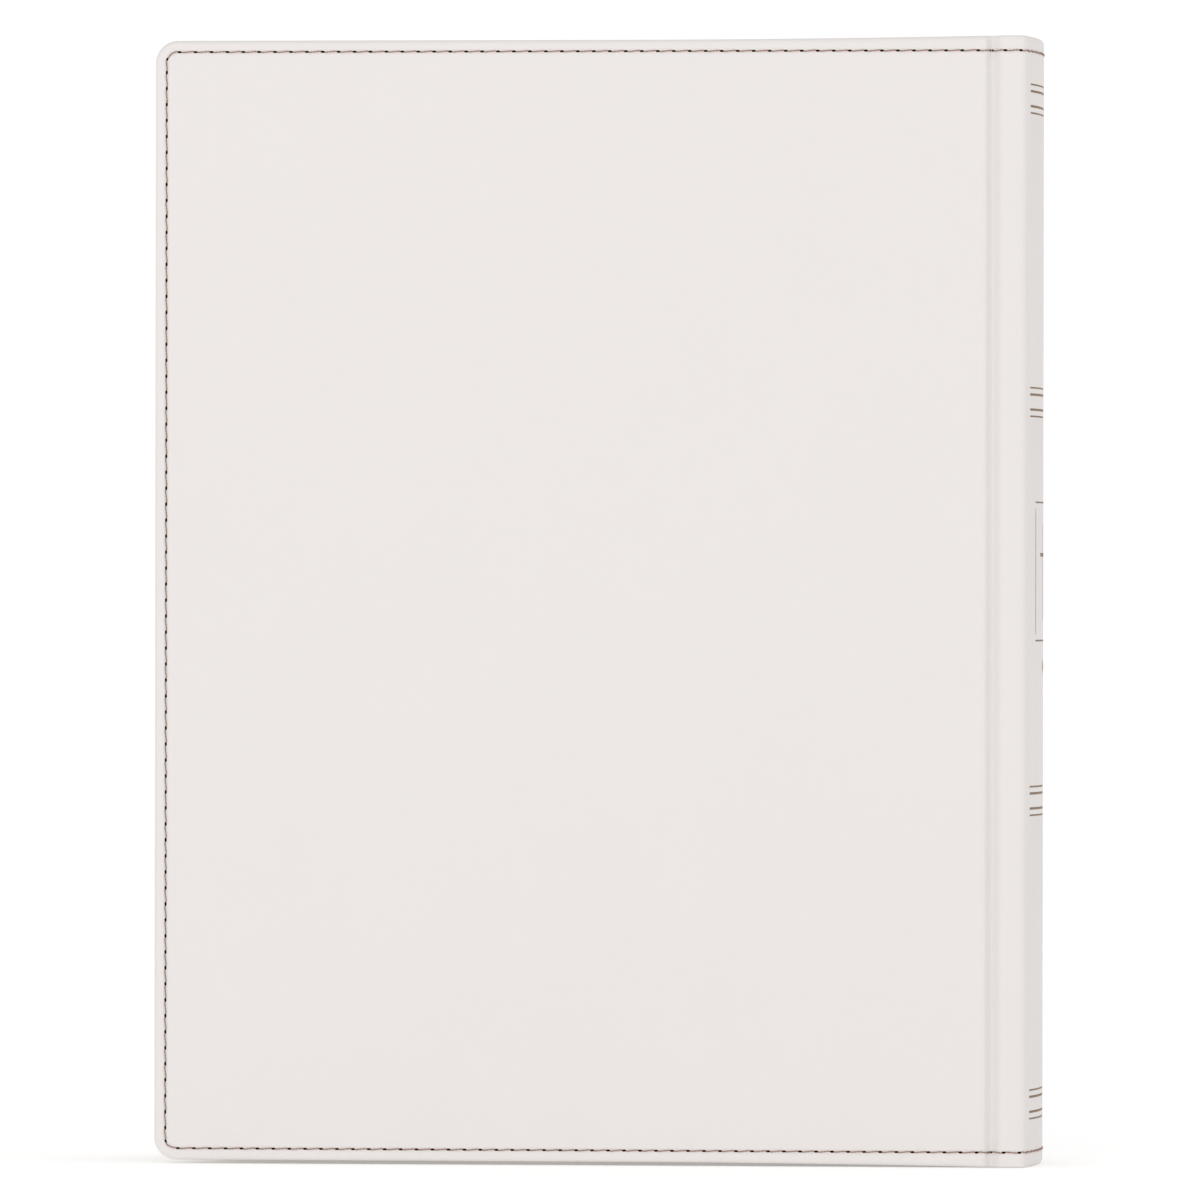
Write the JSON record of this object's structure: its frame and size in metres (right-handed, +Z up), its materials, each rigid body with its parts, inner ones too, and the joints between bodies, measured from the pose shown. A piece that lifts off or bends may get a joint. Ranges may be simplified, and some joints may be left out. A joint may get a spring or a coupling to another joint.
{
  "type": "bible",
  "caption": "Upright hardcover bible in smooth white imitation leather with stitched edges, foil lines on a rounded spine, opening covers and fanning sewn pages.",
  "frame": {"origin": "centre of the closed book's footprint, on the surface its tail stands on", "axes": "+Z up along the height of the book, +X towards the spine, +Y towards the front cover, so the back cover faces -Y"},
  "size_m": [0.177, 0.04, 0.2255],
  "materials": {
    "white_leather": "smooth matt imitation leather, white",
    "greyboard": "matt",
    "page_paper": "thin matt bible paper",
    "endpaper": "uncoated ivory",
    "kraft": "ribbed kraft paper",
    "gauze": "open starched weave",
    "foil": "stamped satin gold-tan foil",
    "stitch_thread": "twisted polyester thread, rose-tan",
    "sewing_thread": "bleached linen thread",
    "band_weave": "woven head and tail band"
  },
  "bodies": {
    "spine": {"spine_skin": "white_leather", "spine_stiffener": "greyboard", "spine_foil_bands": "foil", "spine_foil_ornament": "foil", "spine_stitching": "stitch_thread", "spine_lining": "kraft", "spine_gauze": "gauze", "sewing_threads": "sewing_thread", "head_band": "band_weave", "tail_band": "band_weave"},
    "back_joint": {"back_joint_skin": "white_leather", "back_joint_stitching": "stitch_thread", "back_joint_endpaper": "endpaper"},
    "back_cover": {"back_board": "greyboard", "back_cover_skin": "white_leather", "back_cover_stitching": "stitch_thread", "back_gauze_flap": "gauze", "back_pastedown": "endpaper"},
    "back_flyleaf": {"back_flyleaf": "endpaper"},
    "front_joint": {"front_joint_skin": "white_leather", "front_joint_stitching": "stitch_thread", "front_joint_endpaper": "endpaper"},
    "front_cover": {"front_board": "greyboard", "front_cover_skin": "white_leather", "front_cover_stitching": "stitch_thread", "front_gauze_flap": "gauze", "front_pastedown": "endpaper", "front_foil_cross": "foil"},
    "front_flyleaf": {"front_flyleaf": "endpaper"},
    "signature_01": {"signature_01": "page_paper"},
    "signature_02": {"signature_02": "page_paper"},
    "signature_03": {"signature_03": "page_paper"},
    "signature_04": {"signature_04": "page_paper"},
    "signature_05": {"signature_05": "page_paper"},
    "signature_06": {"signature_06": "page_paper"},
    "signature_07": {"signature_07": "page_paper"},
    "signature_08": {"signature_08": "page_paper"},
    "signature_09": {"signature_09": "page_paper"},
    "signature_10": {"signature_10": "page_paper"},
    "signature_11": {"signature_11": "page_paper"},
    "signature_12": {"signature_12": "page_paper"},
    "signature_13": {"signature_13": "page_paper"},
    "signature_14": {"signature_14": "page_paper"},
    "signature_15": {"signature_15": "page_paper"},
    "signature_16": {"signature_16": "page_paper"},
    "signature_17": {"signature_17": "page_paper"},
    "signature_18": {"signature_18": "page_paper"},
    "signature_19": {"signature_19": "page_paper"},
    "signature_20": {"signature_20": "page_paper"},
    "signature_21": {"signature_21": "page_paper"},
    "signature_22": {"signature_22": "page_paper"}
  },
  "joints": [
    {"name": "back_joint_fold", "type": "hinge", "parent": "spine", "child": "back_joint", "pos_m": [0.0815, -0.0197, 0], "axis": [0, 0, 1], "range_deg": [0, 90], "deforming": ["back_joint_skin", "back_joint_stitching", "back_joint_endpaper"]},
    {"name": "front_joint_fold", "type": "hinge", "parent": "spine", "child": "front_joint", "pos_m": [0.0815, 0.0197, 0], "axis": [0, 0, -1], "range_deg": [0, 90], "deforming": ["front_joint_skin", "front_joint_stitching", "front_joint_endpaper"]},
    {"name": "back_cover_fold", "type": "hinge", "parent": "back_joint", "child": "back_cover", "pos_m": [0.0777, -0.0197, 0], "axis": [0, 0, 1], "range_deg": [0, 90]},
    {"name": "back_flyleaf_turn", "type": "hinge", "parent": "spine", "child": "back_flyleaf", "pos_m": [0.08321, -0.0162, 0], "axis": [0, 0, 1], "range_deg": [0, 43.2]},
    {"name": "front_cover_fold", "type": "hinge", "parent": "front_joint", "child": "front_cover", "pos_m": [0.0777, 0.0197, 0], "axis": [0, 0, -1], "range_deg": [0, 90]},
    {"name": "front_flyleaf_turn", "type": "hinge", "parent": "spine", "child": "front_flyleaf", "pos_m": [0.08321, 0.0162, 0], "axis": [0, 0, -1], "range_deg": [0, 43.2]},
    {"name": "signature_01_turn", "type": "hinge", "parent": "spine", "child": "signature_01", "pos_m": [0.08321, -0.01527, 0], "axis": [0, 0, 1], "range_deg": [0, 40.51]},
    {"name": "signature_02_turn", "type": "hinge", "parent": "spine", "child": "signature_02", "pos_m": [0.0835, -0.01382, 0], "axis": [0, 0, 1], "range_deg": [0, 36.83]},
    {"name": "signature_03_turn", "type": "hinge", "parent": "spine", "child": "signature_03", "pos_m": [0.08375, -0.01236, 0], "axis": [0, 0, 1], "range_deg": [0, 33.15]},
    {"name": "signature_04_turn", "type": "hinge", "parent": "spine", "child": "signature_04", "pos_m": [0.08399, -0.01091, 0], "axis": [0, 0, 1], "range_deg": [0, 29.46]},
    {"name": "signature_05_turn", "type": "hinge", "parent": "spine", "child": "signature_05", "pos_m": [0.08418, -0.00945, 0], "axis": [0, 0, 1], "range_deg": [0, 25.78]},
    {"name": "signature_06_turn", "type": "hinge", "parent": "spine", "child": "signature_06", "pos_m": [0.08436, -0.008, 0], "axis": [0, 0, 1], "range_deg": [0, 22.1]},
    {"name": "signature_07_turn", "type": "hinge", "parent": "spine", "child": "signature_07", "pos_m": [0.0845, -0.00654, 0], "axis": [0, 0, 1], "range_deg": [0, 18.42]},
    {"name": "signature_08_turn", "type": "hinge", "parent": "spine", "child": "signature_08", "pos_m": [0.08461, -0.00509, 0], "axis": [0, 0, 1], "range_deg": [0, 14.74]},
    {"name": "signature_09_turn", "type": "hinge", "parent": "spine", "child": "signature_09", "pos_m": [0.0847, -0.00364, 0], "axis": [0, 0, 1], "range_deg": [0, 11.06]},
    {"name": "signature_10_turn", "type": "hinge", "parent": "spine", "child": "signature_10", "pos_m": [0.08475, -0.00218, 0], "axis": [0, 0, 1], "range_deg": [0, 7.37]},
    {"name": "signature_11_turn", "type": "hinge", "parent": "spine", "child": "signature_11", "pos_m": [0.08478, -0.00073, 0], "axis": [0, 0, 1], "range_deg": [0, 3.69]},
    {"name": "signature_12_turn", "type": "hinge", "parent": "spine", "child": "signature_12", "pos_m": [0.08478, 0.00073, 0], "axis": [0, 0, -1], "range_deg": [0, 3.69]},
    {"name": "signature_13_turn", "type": "hinge", "parent": "spine", "child": "signature_13", "pos_m": [0.08475, 0.00218, 0], "axis": [0, 0, -1], "range_deg": [0, 7.37]},
    {"name": "signature_14_turn", "type": "hinge", "parent": "spine", "child": "signature_14", "pos_m": [0.0847, 0.00364, 0], "axis": [0, 0, -1], "range_deg": [0, 11.06]},
    {"name": "signature_15_turn", "type": "hinge", "parent": "spine", "child": "signature_15", "pos_m": [0.08461, 0.00509, 0], "axis": [0, 0, -1], "range_deg": [0, 14.74]},
    {"name": "signature_16_turn", "type": "hinge", "parent": "spine", "child": "signature_16", "pos_m": [0.0845, 0.00654, 0], "axis": [0, 0, -1], "range_deg": [0, 18.42]},
    {"name": "signature_17_turn", "type": "hinge", "parent": "spine", "child": "signature_17", "pos_m": [0.08436, 0.008, 0], "axis": [0, 0, -1], "range_deg": [0, 22.1]},
    {"name": "signature_18_turn", "type": "hinge", "parent": "spine", "child": "signature_18", "pos_m": [0.08418, 0.00945, 0], "axis": [0, 0, -1], "range_deg": [0, 25.78]},
    {"name": "signature_19_turn", "type": "hinge", "parent": "spine", "child": "signature_19", "pos_m": [0.08399, 0.01091, 0], "axis": [0, 0, -1], "range_deg": [0, 29.46]},
    {"name": "signature_20_turn", "type": "hinge", "parent": "spine", "child": "signature_20", "pos_m": [0.08375, 0.01236, 0], "axis": [0, 0, -1], "range_deg": [0, 33.15]},
    {"name": "signature_21_turn", "type": "hinge", "parent": "spine", "child": "signature_21", "pos_m": [0.0835, 0.01382, 0], "axis": [0, 0, -1], "range_deg": [0, 36.83]},
    {"name": "signature_22_turn", "type": "hinge", "parent": "spine", "child": "signature_22", "pos_m": [0.08321, 0.01527, 0], "axis": [0, 0, -1], "range_deg": [0, 40.51]}
  ],
  "couplings": [
    {"joint": "back_flyleaf_turn", "follows": "back_joint_fold", "ratio": 0.48},
    {"joint": "front_flyleaf_turn", "follows": "front_joint_fold", "ratio": 0.48},
    {"joint": "signature_01_turn", "follows": "back_joint_fold", "ratio": 0.45},
    {"joint": "signature_02_turn", "follows": "back_joint_fold", "ratio": 0.40909},
    {"joint": "signature_03_turn", "follows": "back_joint_fold", "ratio": 0.36818},
    {"joint": "signature_04_turn", "follows": "back_joint_fold", "ratio": 0.32727},
    {"joint": "signature_05_turn", "follows": "back_joint_fold", "ratio": 0.28636},
    {"joint": "signature_06_turn", "follows": "back_joint_fold", "ratio": 0.24545},
    {"joint": "signature_07_turn", "follows": "back_joint_fold", "ratio": 0.20455},
    {"joint": "signature_08_turn", "follows": "back_joint_fold", "ratio": 0.16364},
    {"joint": "signature_09_turn", "follows": "back_joint_fold", "ratio": 0.12273},
    {"joint": "signature_10_turn", "follows": "back_joint_fold", "ratio": 0.08182},
    {"joint": "signature_11_turn", "follows": "back_joint_fold", "ratio": 0.04091},
    {"joint": "signature_12_turn", "follows": "front_joint_fold", "ratio": 0.04091},
    {"joint": "signature_13_turn", "follows": "front_joint_fold", "ratio": 0.08182},
    {"joint": "signature_14_turn", "follows": "front_joint_fold", "ratio": 0.12273},
    {"joint": "signature_15_turn", "follows": "front_joint_fold", "ratio": 0.16364},
    {"joint": "signature_16_turn", "follows": "front_joint_fold", "ratio": 0.20455},
    {"joint": "signature_17_turn", "follows": "front_joint_fold", "ratio": 0.24545},
    {"joint": "signature_18_turn", "follows": "front_joint_fold", "ratio": 0.28636},
    {"joint": "signature_19_turn", "follows": "front_joint_fold", "ratio": 0.32727},
    {"joint": "signature_20_turn", "follows": "front_joint_fold", "ratio": 0.36818},
    {"joint": "signature_21_turn", "follows": "front_joint_fold", "ratio": 0.40909},
    {"joint": "signature_22_turn", "follows": "front_joint_fold", "ratio": 0.45}
  ]
}
